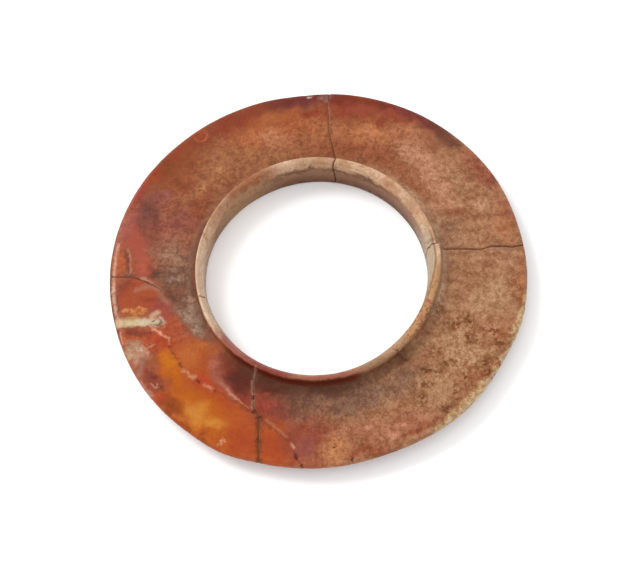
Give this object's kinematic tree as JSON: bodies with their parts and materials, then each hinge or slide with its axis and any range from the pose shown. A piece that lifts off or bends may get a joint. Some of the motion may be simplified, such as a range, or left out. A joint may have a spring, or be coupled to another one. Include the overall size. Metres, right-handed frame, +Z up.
{
  "type": "jade collared disc",
  "caption": "Flat carved stone ring with a low round collar standing proud of both faces round its central hole; a worn ornament, broken and mended.",
  "frame": {"origin": "on the hole's axis, in the plane of the lower collar rim that the disc lies on", "axes": "+Z up along the hole's axis, +X to the right and +Y away from the viewer with the disc lying flat"},
  "size_m": [0.1085, 0.1065, 0.0094],
  "materials": {
    "jade": "satin"
  },
  "bodies": {
    "root": {"collared_disc": "jade"}
  },
  "joints": []
}
